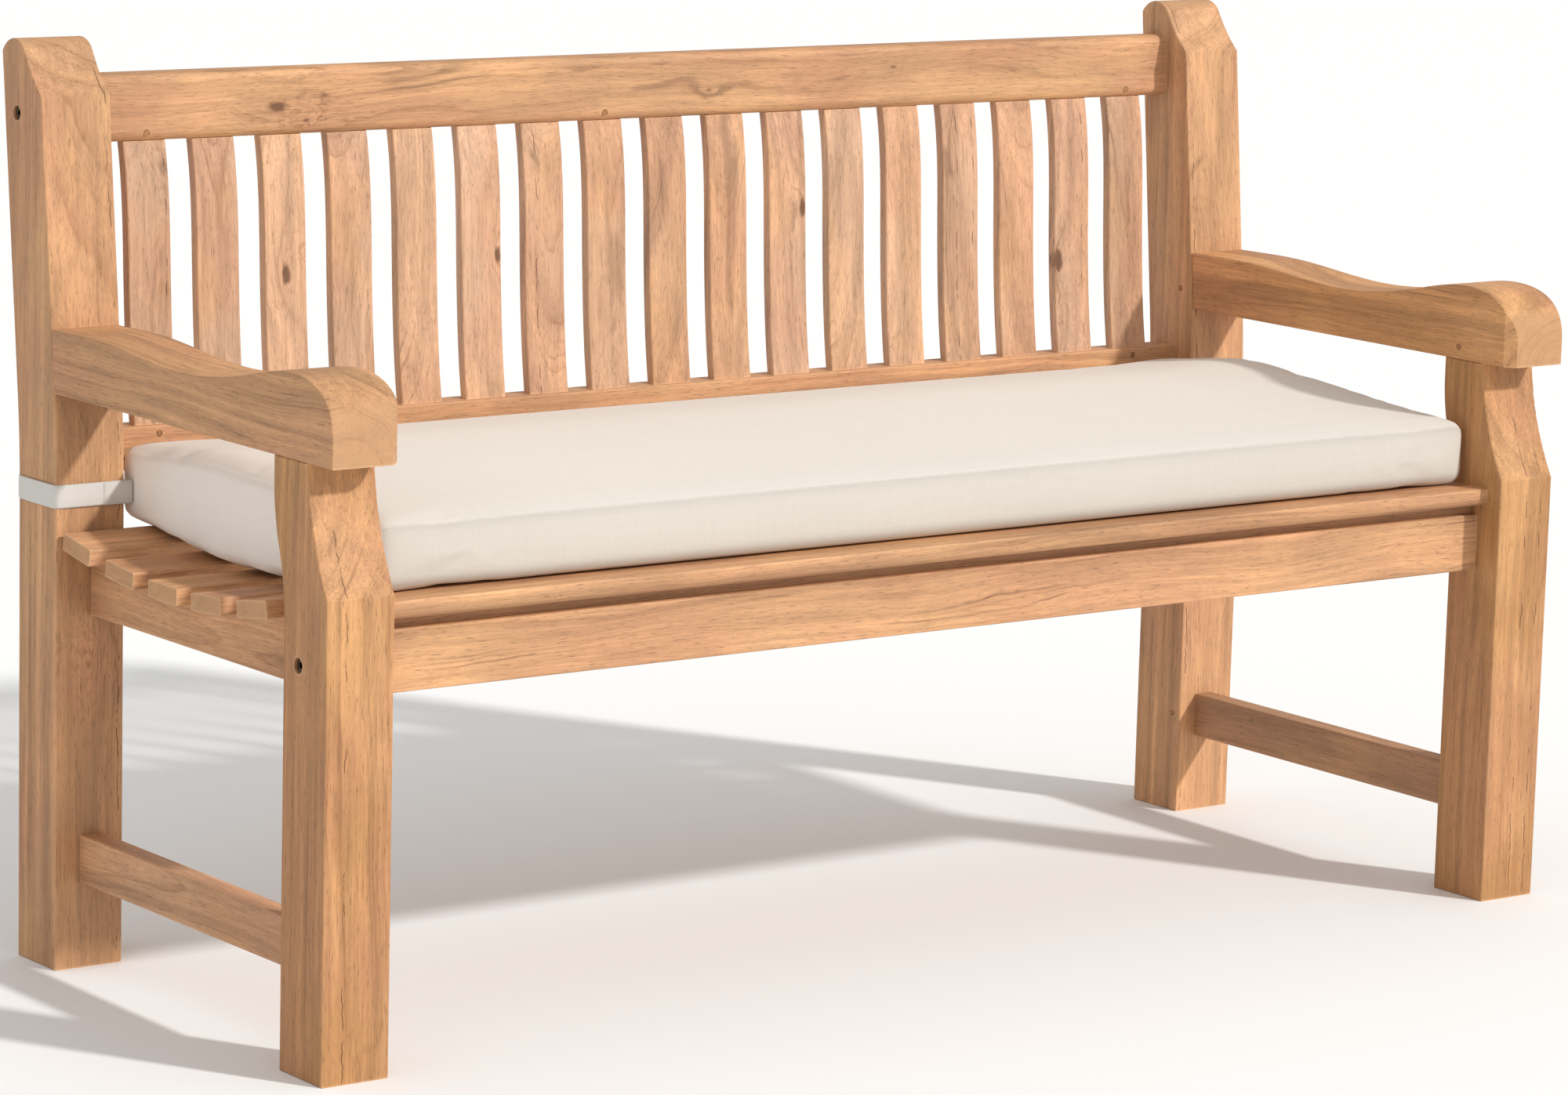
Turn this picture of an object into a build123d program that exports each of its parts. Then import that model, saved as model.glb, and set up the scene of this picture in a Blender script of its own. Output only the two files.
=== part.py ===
from build123d import *
import math
import os

# A three-seat garden bench in solid teak, with contoured back slats, a dished seat and a loose cushion.
# Millimetres. +X runs along the bench, the front faces -Y, +Z is up.
# "Depth" is measured backwards from the front face of the front legs, and "height" from the ground.

# ---- overall ----
LENGTH = 1500.0
OVERALL_DEPTH = 612.0
NOSE_OVERHANG = 6.0
LEG_FRONT_Y = NOSE_OVERHANG - OVERALL_DEPTH / 2
EASE = 2.0
NOSING = 9.0

# ---- rear posts ----
POST_WIDTH = 75.0
POST_DEPTH = 74.0
POST_FRONT = 496.0
RAKE = math.radians(5.5)
RAKE_START = 517.0
RAKE_BEND_RADIUS = 1000.0
CROWN_KNEE = (528.0, 850.0)
CROWN_HOLLOW = (548.2, 871.5)
CROWN_SHOULDER = (563.5, 894.0)
CROWN_TOP = (586.0, 902.0)
CROWN_BACK = (606.0, 889.0)

# ---- front legs ----
LEG_WIDTH = 72.0
LEG_DEPTH = 74.0
LEG_KNEE = 448.0
LEG_SWEEP = (421.0, 546.0)
LEG_TOP_FRONT = 37.5
LEG_TOP_BACK = 94.0
LEG_HOLLOW = (22.5, 497.5)
ARM_UNDERSIDE = 568.0

# ---- arms ----
ARM_WIDTH = 74.0
ARM_REAR_TOP = 630.0
ARM_TOP_LINE = ((410, 630.3), (275, 620.8), (150, 632.7), (56, 645.8), (10, 631))
ARM_NOSE_HEIGHT = 594.0
NOSE_CHAMFER = 10.0

# ---- seat ----
SEAT_RADIUS = 1030.0
SEAT_LOW_DEPTH = 293.0
SLAT_BED_LOW = 397.5
SEAT_SLAT_THICKNESS = 17.0
SEAT_SLAT_WIDTH = 53.0
SEAT_SLAT_LENGTH = 1488.0
SEAT_SLAT_CENTRES = (468.0, 384.0, 302.0, 222.0, 139.0)
FRONT_SLAT_FRONT = 20.0
FRONT_SLAT_BACK = 81.0
FRONT_SLAT_BOTTOM = 420.0
FRONT_SLAT_TOP = 438.0
RAIL_BOTTOM = 350.0
SIDE_RAIL_OUTER = 711.0
SIDE_RAIL_THICKNESS = 30.0
APRON_FRONT = 34.0
APRON_THICKNESS = 28.0
APRON_TOP = 409.0
REAR_APRON_FRONT = 510.0
BEARER_WIDTH = 34.0
BEARER_BOTTOM = 358.0
STRIP_DEPTHS = (44.0, 60.0)
STRIP_END_GAP = 0.5
CORNER_BLOCK = (30.0, 20.0, 40.0)

# ---- stretchers ----
STRETCHER_CENTRE = 709.5
STRETCHER_THICKNESS = 25.0
STRETCHER_BOTTOM = 85.0
STRETCHER_TOP = 132.5

# ---- back ----
TOP_RAIL_FRONT = 558.0
TOP_RAIL_BOTTOM = 800.0
TOP_RAIL_HEIGHT = 66.0
TOP_RAIL_THICKNESS = 32.0
LOWER_RAIL_FRONT = 530.5
LOWER_RAIL_BOTTOM = 482.0
LOWER_RAIL_TOP = 524.5
LOWER_RAIL_THICKNESS = 32.0
BACK_SLATS = 17
BACK_SLAT_PITCH = 77.1
BACK_SLAT_WIDTH = 48.0
BACK_SLAT_THICKNESS = 12.0
SLAT_FOOT = 537.0
SLAT_CURVE = ((546.2, 600.0), (550.5, 670.0), (555.5, 750.0))
SLAT_HEAD = 564.0

# ---- cushion and straps ----
CUSHION_HALF_LENGTH = 669.0
CUSHION_FRONT = 44.0
CUSHION_BACK = 524.0
CUSHION_LIP = 88.0
CUSHION_BED = FRONT_SLAT_TOP + 1.0
CUSHION_BELLY = (300.0, 422.0)
CUSHION_HEEL = (CUSHION_BACK, 443.0)
CUSHION_CROWN = (290.0, 517.0)
CUSHION_BACK_TOP = 512.0
CUSHION_FRONT_TOP = 500.0
CUSHION_ROUND = 17.0
CUSHION_END_ROUND = 14.0
STRAP_WIDTH = 23.0
STRAP_BOTTOM = 457.0
STRAP_THICKNESS = 1.6
STRAP_GAP = 0.2

# ---- joinery ----
TENON_LENGTH = 30.0
STUB_TENON = 22.0
TENON_ROOT = 1.0
THIN_TENON = 10.0
SHOULDER = 9.0
CHEEK = 10.0
ARM_TENON_DEPTHS = (498.0, 540.0)
ARM_TENON_WIDTH = 36.0
TENON_THICKNESS = 12.0
SLAT_TENON_LENGTH = 18.0
SLAT_TENON_WIDTH = 38.0
SLAT_TENON_THICKNESS = 9.0
SLAT_TENON_INSET = 1.5
SLAT_TENON_ROOT = 4.0
PEG_DIAMETER = 8.0
PEG_LENGTH = 40.0
SLAT_PEG_LENGTH = 24.0
SLAT_PEG_INSET = 8.0
POST_PEGS = ((522.0, 589.0), (508.0, 111.0), (510.0, 382.0))
ARM_PEG = (72.0, 581.0)
RAIL_PEG_HEIGHTS = (503.0, 378.0)
RAIL_PEG_INSET = 16.0
DOWEL_LENGTH = 22.0
DOWEL_IN_SLAT = 9.0
BOLT_SHANK = 8.0
BOLT_HEAD = 13.0
BOLT_HEAD_HEIGHT = 8.0
BOLT_LENGTH = 110.0
BOLT_SOCKET = 6.0
BOLT_RECESS = 15.0
BOLT_RECESS_DEPTH = 11.0
BARREL_DIAMETER = 12.0
BARREL_LENGTH = 22.0
BARREL_BORE_EXTRA = 8.0
BARREL_FROM_END = 12.0
APRON_BOLT = (48.0, 382.0)
TOP_RAIL_BOLT = (576.0, 831.0)

SIDES = {"left": -1, "right": 1}
half_length = LENGTH / 2
post_centre = half_length - POST_WIDTH / 2
post_inner = half_length - POST_WIDTH
leg_centre = half_length - LEG_WIDTH / 2
leg_inner = half_length - LEG_WIDTH
arm_centre = half_length - ARM_WIDTH / 2
side_rail_centre = SIDE_RAIL_OUTER - SIDE_RAIL_THICKNESS / 2

os.makedirs("parts", exist_ok=True)


def depth(value):
    """Y of a depth measured back from the front legs' front face."""
    return LEG_FRONT_Y + value


def yz(pairs):
    """Profile points on the YZ plane from (depth, height) pairs."""
    return [(depth(d), z) for d, z in pairs]


def raked(d, z, height):
    """Depth at a height of the raked line through depth d at height z."""
    return d + (height - z) * math.tan(RAKE)


def slat_bed(d):
    """Height of the dished seat frame at a depth."""
    return SLAT_BED_LOW + (d - SEAT_LOW_DEPTH) ** 2 / (2 * SEAT_RADIUS)


def save(piece, name):
    """Labels a finished piece and writes it as its own node."""
    piece.label = name
    export_step(piece, f"parts/{name}.step")


def rod(start, direction, radius, length):
    """A round solid that starts at a point and runs along a direction."""
    with BuildPart() as solid_rod:
        with BuildSketch(Plane(origin=start, z_dir=direction)):
            Circle(radius)
        extrude(amount=length)
    return solid_rod.part


def block(x_range, d_range, z_range):
    """A plain block between two x values, two depths and two heights."""
    x0, x1 = sorted(x_range)
    size = (x1 - x0, d_range[1] - d_range[0], z_range[1] - z_range[0])
    middle = ((x0 + x1) / 2, depth(sum(d_range) / 2), sum(z_range) / 2)
    with BuildPart() as solid_block:
        with Locations(middle):
            Box(*size)
    return solid_block.part


def ease(part, axis, radius=EASE):
    """Rounds every edge round the two flat faces that look along an axis."""
    sides = part.faces().filter_by(axis)
    fillet((sides.sort_by(axis)[0].edges() + sides.sort_by(axis)[-1].edges()), radius)


def post_profile():
    """Outline of a rear post: straight to the seat, raked above it, with a shaped crown."""
    front_bend = (POST_FRONT, RAKE_START)
    back_bend = (POST_FRONT + POST_DEPTH, RAKE_START - POST_DEPTH * math.tan(RAKE / 2))
    front = FilletPolyline(*yz([(POST_FRONT, 0), front_bend, CROWN_KNEE]), radius=RAKE_BEND_RADIUS)
    ThreePointArc(*yz([CROWN_KNEE, CROWN_HOLLOW, CROWN_SHOULDER]))
    ThreePointArc(*yz([CROWN_SHOULDER, CROWN_TOP, CROWN_BACK]))
    back = FilletPolyline(
        *yz([CROWN_BACK, back_bend, (POST_FRONT + POST_DEPTH, 0)]),
        radius=RAKE_BEND_RADIUS - POST_DEPTH,
    )
    Line(back @ 1, front @ 0)


def leg_profile():
    """Outline of a front leg: full depth below the knee, swept back and thinner above it."""
    swept = (LEG_TOP_BACK, LEG_SWEEP[1])
    halfway = ((LEG_DEPTH + LEG_TOP_BACK) / 2, sum(LEG_SWEEP) / 2)
    Polyline(*yz([(0, LEG_KNEE), (0, 0), (LEG_DEPTH, 0), (LEG_DEPTH, LEG_SWEEP[0])]))
    TangentArc(*yz([(LEG_DEPTH, LEG_SWEEP[0]), halfway]), tangent=(0, 1))
    TangentArc(*yz([swept, halfway]), tangent=(0, -1))
    Polyline(*yz([swept, (LEG_TOP_BACK, ARM_UNDERSIDE), (LEG_TOP_FRONT, ARM_UNDERSIDE)]))
    ThreePointArc(*yz([(0, LEG_KNEE), LEG_HOLLOW, (LEG_TOP_FRONT, ARM_UNDERSIDE)]))


def arm_profile():
    """Outline of an arm: flat below, dished along the top, rolled over at the nose."""
    rear_low = raked(*CROWN_KNEE, ARM_UNDERSIDE)
    rear_high = raked(*CROWN_KNEE, ARM_REAR_TOP)
    bottom = Line(*yz([(-NOSE_OVERHANG, ARM_UNDERSIDE), (rear_low, ARM_UNDERSIDE)]))
    rear = Line(bottom @ 1, yz([(rear_high, ARM_REAR_TOP)])[0])
    top = Spline(
        rear @ 1,
        *yz([*ARM_TOP_LINE, (-NOSE_OVERHANG, ARM_NOSE_HEIGHT)]),
        tangents=((-1, 0.01), (-0.02, -1)),
    )
    Line(top @ 1, bottom @ 0)


def nose_corner(side):
    """Plan of the corner that is planed off an arm's nose, on the side of the sitter."""
    inner, front = side * (half_length - ARM_WIDTH), depth(-NOSE_OVERHANG)
    reach = 2 * NOSE_CHAMFER
    outside = NOSE_CHAMFER - reach
    Polyline(
        (inner + side * outside, front + reach),
        (inner + side * outside, front + outside),
        (inner + side * reach, front + outside),
        close=True,
    )


# ---- bolts, pegs and dowels, made first because the wooden pieces are bored for them ----
bolt_spots = [(side, *spot) for side in SIDES.values() for spot in (APRON_BOLT, TOP_RAIL_BOLT)]


def bolt_bores(side, d, z):
    """The recess and the long bore that one frame bolt goes in."""
    outer = (side * half_length, depth(d), z)
    inward = (-side, 0, 0)
    return rod(outer, inward, BOLT_RECESS / 2, BOLT_RECESS_DEPTH) + rod(
        outer, inward, BOLT_SHANK / 2 + 0.1, BOLT_RECESS_DEPTH + BOLT_LENGTH
    )


def barrel_spot(side, d, z):
    """Where a barrel nut's axis starts, near the end of the bolt, behind the bolt's line."""
    bolt_end = half_length - BOLT_RECESS_DEPTH - BOLT_LENGTH
    return (side * (bolt_end + BARREL_FROM_END), depth(d) - BARREL_LENGTH / 2, z)


with BuildPart() as frame_bolts:
    for side, d, z in bolt_spots:
        seat = (side * (half_length - BOLT_RECESS_DEPTH), depth(d), z)
        with BuildSketch(Plane(origin=seat, z_dir=(-side, 0, 0))):
            Circle(BOLT_SHANK / 2)
        extrude(amount=BOLT_LENGTH)
        with BuildSketch(Plane(origin=seat, z_dir=(side, 0, 0))):
            Circle(BOLT_HEAD / 2)
            RegularPolygon(BOLT_SOCKET / 2, 6, major_radius=False, mode=Mode.SUBTRACT)
        extrude(amount=BOLT_HEAD_HEIGHT)
        with BuildSketch(Plane(origin=seat, z_dir=(side, 0, 0))):
            Circle(BOLT_HEAD / 2)
        extrude(amount=BOLT_HEAD_HEIGHT / 2)
save(frame_bolts.part, "frame_bolts")

barrel_rods = [rod(barrel_spot(*spot), (0, 1, 0), BARREL_DIAMETER / 2, BARREL_LENGTH) for spot in bolt_spots]
with BuildPart() as barrel_nuts:
    for nut in barrel_rods:
        add(nut)
    add(frame_bolts.part, mode=Mode.SUBTRACT)
save(barrel_nuts.part, "barrel_nuts")

bolt_cuts = [bolt_bores(*spot) for spot in bolt_spots]
barrel_bore = BARREL_LENGTH + BARREL_BORE_EXTRA
barrel_cuts = [rod(barrel_spot(*spot), (0, 1, 0), BARREL_DIAMETER / 2, barrel_bore) for spot in bolt_spots]


def slat_x(index):
    """X of the centre of a back slat, counted from the left."""
    return (index - (BACK_SLATS - 1) / 2) * BACK_SLAT_PITCH


# Round pegs lock the tenons. Each is a start point and a direction into the wood.
peg_places = []
for side in SIDES.values():
    for d, z in POST_PEGS:
        peg_places.append(((side * post_inner, depth(d), z), (side, 0, 0)))
    for z in RAIL_PEG_HEIGHTS:
        back_peg = (side * (post_inner + RAIL_PEG_INSET), depth(POST_FRONT + POST_DEPTH), z)
        peg_places.append((back_peg, (0, -1, 0)))
    arm_peg = (side * (half_length - ARM_WIDTH), depth(ARM_PEG[0]), ARM_PEG[1])
    peg_places.append((arm_peg, (side, 0, 0)))
joint_pegs = [rod(start, way, PEG_DIAMETER / 2, PEG_LENGTH) for start, way in peg_places]

pegged_top = (0, 7, BACK_SLATS - 1)
pegged_low = (0, BACK_SLATS - 1)
peg_low_height = LOWER_RAIL_TOP - SLAT_PEG_INSET
peg_top_height = TOP_RAIL_BOTTOM + SLAT_PEG_INSET
peg_top_y = depth(raked(TOP_RAIL_FRONT, TOP_RAIL_BOTTOM, peg_top_height))
slat_peg_starts = [(slat_x(i), peg_top_y, peg_top_height) for i in pegged_top]
slat_peg_starts += [(slat_x(i), depth(LOWER_RAIL_FRONT), peg_low_height) for i in pegged_low]
slat_pegs = [rod(start, (0, 1, 0), PEG_DIAMETER / 2, SLAT_PEG_LENGTH) for start in slat_peg_starts]
with BuildPart() as wooden_pegs:
    for peg in joint_pegs + slat_pegs:
        add(peg)
save(wooden_pegs.part, "wooden_pegs")


def seat_slat_frame(d):
    """Depths and heights where the two lower edges of a seat slat rest on the dished frame."""
    front, back = d - SEAT_SLAT_WIDTH / 2, d + SEAT_SLAT_WIDTH / 2
    return (front, slat_bed(front)), (back, slat_bed(back))


def slat_plane(d, x=0.0):
    """Plane on a seat slat's underside: its normal is square to the board and its x runs backwards."""
    (front, low), (back, high) = seat_slat_frame(d)
    along = Vector(0, back - front, high - low).normalized()
    origin = Vector(x, depth((front + back) / 2), (low + high) / 2)
    return Plane(origin=origin, x_dir=along, z_dir=along.cross(Vector(1, 0, 0)) * -1)


dowel_columns = (-side_rail_centre, 0.0, side_rail_centre)
seat_pins = []
for centre in SEAT_SLAT_CENTRES:
    for x in dowel_columns:
        bed = slat_plane(centre, x)
        start = bed.origin + bed.z_dir * DOWEL_IN_SLAT
        seat_pins.append(rod(start, bed.z_dir * -1, PEG_DIAMETER / 2, DOWEL_LENGTH))
with BuildPart() as seat_dowels:
    for pin in seat_pins:
        add(pin)
save(seat_dowels.part, "seat_dowels")

# ---- tenons that are worked on the ends of the rails ----
arm_tenon_bottom = 575.0
arm_tenon_top = 607.0
leg_tenon_depths = (50.0, 84.0)
leg_tenon_top = 606.0
side_tenon = (362.0, 402.0)
stretcher_tenon = (STRETCHER_BOTTOM + SHOULDER, STRETCHER_TOP - SHOULDER)
lower_tenon = (LOWER_RAIL_BOTTOM + SHOULDER, LOWER_RAIL_TOP - SHOULDER)
rear_apron_tenon = (RAIL_BOTTOM + SHOULDER, APRON_TOP - SHOULDER)
rear_tenon_front = REAR_APRON_FRONT + CHEEK
rear_tenon_depth = (rear_tenon_front, rear_tenon_front + TENON_THICKNESS)
lower_tenon_front = LOWER_RAIL_FRONT + CHEEK
lower_tenon_depth = (lower_tenon_front, lower_tenon_front + TENON_THICKNESS)

tenons = {}
for name, side in SIDES.items():
    arm_x = [side * (arm_centre + edge * ARM_TENON_WIDTH / 2) for edge in (-1, 1)]
    rail_x = [side * (side_rail_centre + edge * TENON_THICKNESS / 2) for edge in (-1, 1)]
    low_x = [side * (STRETCHER_CENTRE + edge * THIN_TENON / 2) for edge in (-1, 1)]
    post_x = (side * post_inner, side * (post_inner + TENON_LENGTH))
    into_leg = (LEG_DEPTH - STUB_TENON, LEG_DEPTH + TENON_ROOT)
    into_post = (POST_FRONT - TENON_ROOT, POST_FRONT + STUB_TENON)
    tenons[name] = {
        "arm": block(arm_x, ARM_TENON_DEPTHS, (arm_tenon_bottom, arm_tenon_top)),
        "leg": block(arm_x, leg_tenon_depths, (ARM_UNDERSIDE - TENON_ROOT, leg_tenon_top)),
        "rail_front": block(rail_x, into_leg, side_tenon),
        "rail_back": block(rail_x, into_post, side_tenon),
        "stretcher_front": block(low_x, into_leg, stretcher_tenon),
        "stretcher_back": block(low_x, into_post, stretcher_tenon),
        "lower_rail": block(post_x, lower_tenon_depth, lower_tenon),
        "rear_apron": block(post_x, rear_tenon_depth, rear_apron_tenon),
    }


def bore_for(*solids):
    """Cuts other pieces' solids out of the piece being built."""
    for solid in solids:
        add(solid, mode=Mode.SUBTRACT)


# ---- end frames ----
for name, side in SIDES.items():
    mine = tenons[name]

    with BuildPart() as rear_post:
        with BuildSketch(Plane.YZ.offset(side * post_centre)):
            with BuildLine():
                post_profile()
            make_face()
        extrude(amount=POST_WIDTH / 2, both=True)
        ease(rear_post, Axis.X)
        bore_for(mine["arm"], mine["rail_back"], mine["stretcher_back"])
        bore_for(mine["lower_rail"], mine["rear_apron"], *joint_pegs, *bolt_cuts)
    save(rear_post.part, f"rear_post_{name}")

    with BuildPart() as front_leg:
        with BuildSketch(Plane.YZ.offset(side * leg_centre)):
            with BuildLine():
                leg_profile()
            make_face()
        extrude(amount=LEG_WIDTH / 2, both=True)
        ease(front_leg, Axis.X)
        add(mine["leg"])
        bore_for(mine["rail_front"], mine["stretcher_front"], *joint_pegs, *bolt_cuts)
    save(front_leg.part, f"front_leg_{name}")

    with BuildPart() as arm:
        with BuildSketch(Plane.YZ.offset(side * arm_centre)):
            with BuildLine():
                arm_profile()
            make_face()
        extrude(amount=ARM_WIDTH / 2, both=True)
        ease(arm, Axis.X)
        with BuildSketch(Plane.XY.offset(ARM_UNDERSIDE)):
            with BuildLine():
                nose_corner(side)
            make_face()
        extrude(amount=LEG_DEPTH + NOSE_OVERHANG, mode=Mode.SUBTRACT)
        add(mine["arm"])
        bore_for(front_leg.part, *joint_pegs)
    save(arm.part, f"arm_{name}")

    with BuildPart() as stretcher:
        with BuildSketch(Plane.XZ.offset(-depth(LEG_DEPTH))):
            with Locations((side * STRETCHER_CENTRE, (STRETCHER_BOTTOM + STRETCHER_TOP) / 2)):
                RectangleRounded(STRETCHER_THICKNESS, STRETCHER_TOP - STRETCHER_BOTTOM, EASE)
        extrude(amount=-(POST_FRONT - LEG_DEPTH))
        add(mine["stretcher_front"])
        add(mine["stretcher_back"])
        bore_for(*joint_pegs)
    save(stretcher.part, f"stretcher_{name}")

# ---- seat frame ----
bed_edge = [(LEG_DEPTH, slat_bed(LEG_DEPTH))]
for centre in sorted(SEAT_SLAT_CENTRES):
    bed_edge += seat_slat_frame(centre)
bed_edge.append((POST_FRONT, slat_bed(POST_FRONT)))

for name, side in SIDES.items():
    mine = tenons[name]
    with BuildPart() as side_rail:
        with BuildSketch(Plane.YZ.offset(side * side_rail_centre)):
            with BuildLine():
                Polyline(*yz([(LEG_DEPTH, RAIL_BOTTOM), *bed_edge, (POST_FRONT, RAIL_BOTTOM)]), close=True)
            make_face()
        extrude(amount=SIDE_RAIL_THICKNESS / 2, both=True)
        add(mine["rail_front"])
        add(mine["rail_back"])
        bore_for(*joint_pegs, *seat_pins)
    save(side_rail.part, f"side_rail_{name}")

with BuildPart() as front_apron:
    with BuildSketch(Plane.YZ):
        with Locations((depth(APRON_FRONT + APRON_THICKNESS / 2), (RAIL_BOTTOM + APRON_TOP) / 2)):
            RectangleRounded(APRON_THICKNESS, APRON_TOP - RAIL_BOTTOM, EASE)
    extrude(amount=leg_inner, both=True)
    bore_for(*bolt_cuts, *barrel_cuts)
save(front_apron.part, "front_apron")

rear_apron_depths = (REAR_APRON_FRONT, REAR_APRON_FRONT + APRON_THICKNESS)
with BuildPart() as rear_apron:
    with BuildSketch(Plane.YZ):
        with Locations((depth(sum(rear_apron_depths) / 2), (RAIL_BOTTOM + APRON_TOP) / 2)):
            RectangleRounded(APRON_THICKNESS, APRON_TOP - RAIL_BOTTOM, EASE)
    extrude(amount=post_inner, both=True)
    for name in SIDES:
        add(tenons[name]["rear_apron"])
    bore_for(*joint_pegs)
save(rear_apron.part, "rear_apron")

bearer_front = APRON_FRONT + APRON_THICKNESS
bearer_bed = [(bearer_front, FRONT_SLAT_BOTTOM), (FRONT_SLAT_BACK, FRONT_SLAT_BOTTOM)]
for centre in sorted(SEAT_SLAT_CENTRES):
    bearer_bed += seat_slat_frame(centre)
bearer_bed += [(REAR_APRON_FRONT, slat_bed(POST_FRONT) - EASE), (REAR_APRON_FRONT, BEARER_BOTTOM)]
with BuildPart() as seat_bearer:
    with BuildSketch(Plane.YZ):
        with BuildLine():
            Polyline(*yz([(bearer_front, BEARER_BOTTOM), *bearer_bed]), close=True)
        make_face()
    extrude(amount=BEARER_WIDTH / 2, both=True)
    bore_for(*seat_pins)
save(seat_bearer.part, "seat_bearer")

with BuildPart() as corner_blocks:
    for side in SIDES.values():
        block_x = side * (leg_inner - CORNER_BLOCK[0] / 2)
        block_y = depth(bearer_front + CORNER_BLOCK[1] / 2)
        with Locations((block_x, block_y, FRONT_SLAT_BOTTOM - CORNER_BLOCK[2] / 2)):
            Box(*CORNER_BLOCK)
save(corner_blocks.part, "corner_blocks")

# The front slat is packed off the apron by a strip that stands back from both faces.
with BuildPart() as front_slat_strip:
    with BuildSketch(Plane.YZ):
        with Locations((depth(sum(STRIP_DEPTHS) / 2), (APRON_TOP + FRONT_SLAT_BOTTOM) / 2)):
            Rectangle(STRIP_DEPTHS[1] - STRIP_DEPTHS[0], FRONT_SLAT_BOTTOM - APRON_TOP)
    extrude(amount=leg_inner - STRIP_END_GAP, both=True)
save(front_slat_strip.part, "front_slat_strip")

# ---- seat slats ----
for number, centre in enumerate(SEAT_SLAT_CENTRES, start=1):
    bed = slat_plane(centre)
    with BuildPart() as seat_slat:
        with BuildSketch(Plane(origin=bed.origin, x_dir=bed.x_dir, z_dir=(1, 0, 0))):
            with Locations((0, SEAT_SLAT_THICKNESS / 2)):
                RectangleRounded(SEAT_SLAT_WIDTH, SEAT_SLAT_THICKNESS, EASE)
        extrude(amount=SEAT_SLAT_LENGTH / 2, both=True)
        bore_for(*seat_pins)
    save(seat_slat.part, f"seat_slat_{number}")

with BuildPart() as front_seat_slat:
    with BuildSketch(Plane.YZ) as nosed:
        middle = (depth((FRONT_SLAT_FRONT + FRONT_SLAT_BACK) / 2), (FRONT_SLAT_BOTTOM + FRONT_SLAT_TOP) / 2)
        with Locations(middle):
            Rectangle(FRONT_SLAT_BACK - FRONT_SLAT_FRONT, FRONT_SLAT_TOP - FRONT_SLAT_BOTTOM)
        corners = nosed.vertices().group_by(Axis.Y)
        fillet(corners[0].sort_by(Axis.Z)[-1], NOSING)
        fillet(nosed.vertices().group_by(Axis.Y)[-1], EASE)
    extrude(amount=leg_inner, both=True)
save(front_seat_slat.part, "front_seat_slat")

# ---- back ----
slat_points = [(SLAT_FOOT, LOWER_RAIL_TOP), *SLAT_CURVE, (SLAT_HEAD, TOP_RAIL_BOTTOM)]
low_slat_tenon = (LOWER_RAIL_TOP - SLAT_TENON_LENGTH, LOWER_RAIL_TOP + SLAT_TENON_ROOT)
top_slat_tenon = (TOP_RAIL_BOTTOM - SLAT_TENON_ROOT, TOP_RAIL_BOTTOM + SLAT_TENON_LENGTH)
slat_tenons = []
for index in range(BACK_SLATS):
    tenon_x = (slat_x(index) - SLAT_TENON_WIDTH / 2, slat_x(index) + SLAT_TENON_WIDTH / 2)
    low_depth = SLAT_FOOT + SLAT_TENON_INSET
    top_depth = SLAT_HEAD + SLAT_TENON_INSET
    slat_tenons.append(
        (
            block(tenon_x, (low_depth, low_depth + SLAT_TENON_THICKNESS), low_slat_tenon),
            block(tenon_x, (top_depth, top_depth + SLAT_TENON_THICKNESS), top_slat_tenon),
        )
    )

for index in range(BACK_SLATS):
    with BuildPart() as back_slat:
        with BuildSketch(Plane.YZ.offset(slat_x(index))):
            with BuildLine():
                front = Spline(*yz(slat_points))
                back = Spline(*yz([(d + BACK_SLAT_THICKNESS, z) for d, z in slat_points]))
                Line(front @ 0, back @ 0)
                Line(front @ 1, back @ 1)
            make_face()
        extrude(amount=BACK_SLAT_WIDTH / 2, both=True)
        fillet(back_slat.faces().filter_by(Axis.X).edges().group_by(SortBy.LENGTH)[-1], EASE)
        for tenon in slat_tenons[index]:
            add(tenon)
        bore_for(*slat_pegs)
    save(back_slat.part, f"back_slat_{index + 1:02d}")

every_slat_tenon = [tenon for pair in slat_tenons for tenon in pair]
with BuildPart() as lower_back_rail:
    with BuildSketch(Plane.YZ):
        rail_middle = LOWER_RAIL_FRONT + LOWER_RAIL_THICKNESS / 2
        with Locations((depth(rail_middle), (LOWER_RAIL_BOTTOM + LOWER_RAIL_TOP) / 2)):
            RectangleRounded(LOWER_RAIL_THICKNESS, LOWER_RAIL_TOP - LOWER_RAIL_BOTTOM, EASE)
    extrude(amount=post_inner, both=True)
    for name in SIDES:
        add(tenons[name]["lower_rail"])
    bore_for(*every_slat_tenon, *slat_pegs, *joint_pegs)
save(lower_back_rail.part, "lower_back_rail")

rail_top = TOP_RAIL_BOTTOM + TOP_RAIL_HEIGHT
with BuildPart() as top_rail:
    with BuildSketch(Plane.YZ) as rail_profile:
        with BuildLine():
            Polyline(
                *yz(
                    [
                        (TOP_RAIL_FRONT, TOP_RAIL_BOTTOM),
                        (raked(TOP_RAIL_FRONT, TOP_RAIL_BOTTOM, rail_top), rail_top),
                        (raked(TOP_RAIL_FRONT, TOP_RAIL_BOTTOM, rail_top) + TOP_RAIL_THICKNESS, rail_top),
                        (TOP_RAIL_FRONT + TOP_RAIL_THICKNESS, TOP_RAIL_BOTTOM),
                    ]
                ),
                close=True,
            )
        make_face()
        fillet(rail_profile.vertices().group_by(Axis.Z)[-1], NOSING)
        fillet(rail_profile.vertices().group_by(Axis.Z)[0], EASE)
    extrude(amount=post_inner, both=True)
    bore_for(*every_slat_tenon, *slat_pegs, *bolt_cuts, *barrel_cuts)
save(top_rail.part, "top_rail")

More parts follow.
